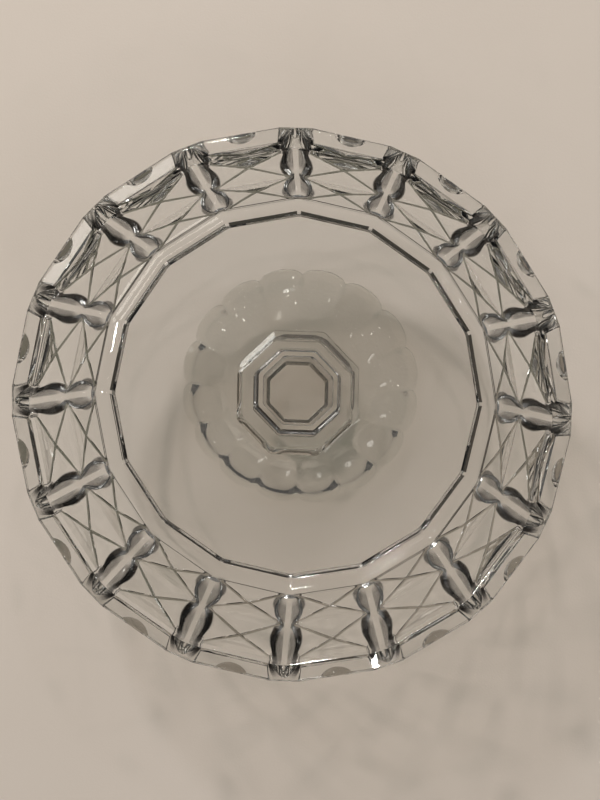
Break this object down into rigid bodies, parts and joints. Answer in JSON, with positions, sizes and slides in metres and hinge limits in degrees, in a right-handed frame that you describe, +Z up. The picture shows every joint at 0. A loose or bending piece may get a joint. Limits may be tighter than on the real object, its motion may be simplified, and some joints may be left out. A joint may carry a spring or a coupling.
{
  "type": "footed cake stand",
  "caption": "Low footed cake stand in clear pressed glass: polygonal plate with a patterned gallery wall, eight-sided plug stem and a lobed foot it lifts out of.",
  "frame": {"origin": "centre of the ring that the foot stands on, at the bottom of the stand", "axes": "+Z up along the stand's axis; +X and +Y point at corners of the rim, where a pillar stands"},
  "size_m": [0.277, 0.277, 0.088],
  "materials": {
    "clear_glass": "clear pressed glass, fire polished, with a faint grey-green cast"
  },
  "bodies": {
    "foot": {"lobed_foot": "clear_glass"},
    "plate": {"cake_plate": "clear_glass", "octagonal_stem": "clear_glass"}
  },
  "joints": [
    {"name": "plate_lift", "type": "slide", "parent": "foot", "child": "plate", "axis": [0, 0, 1], "range_m": [0, 0.03]}
  ]
}
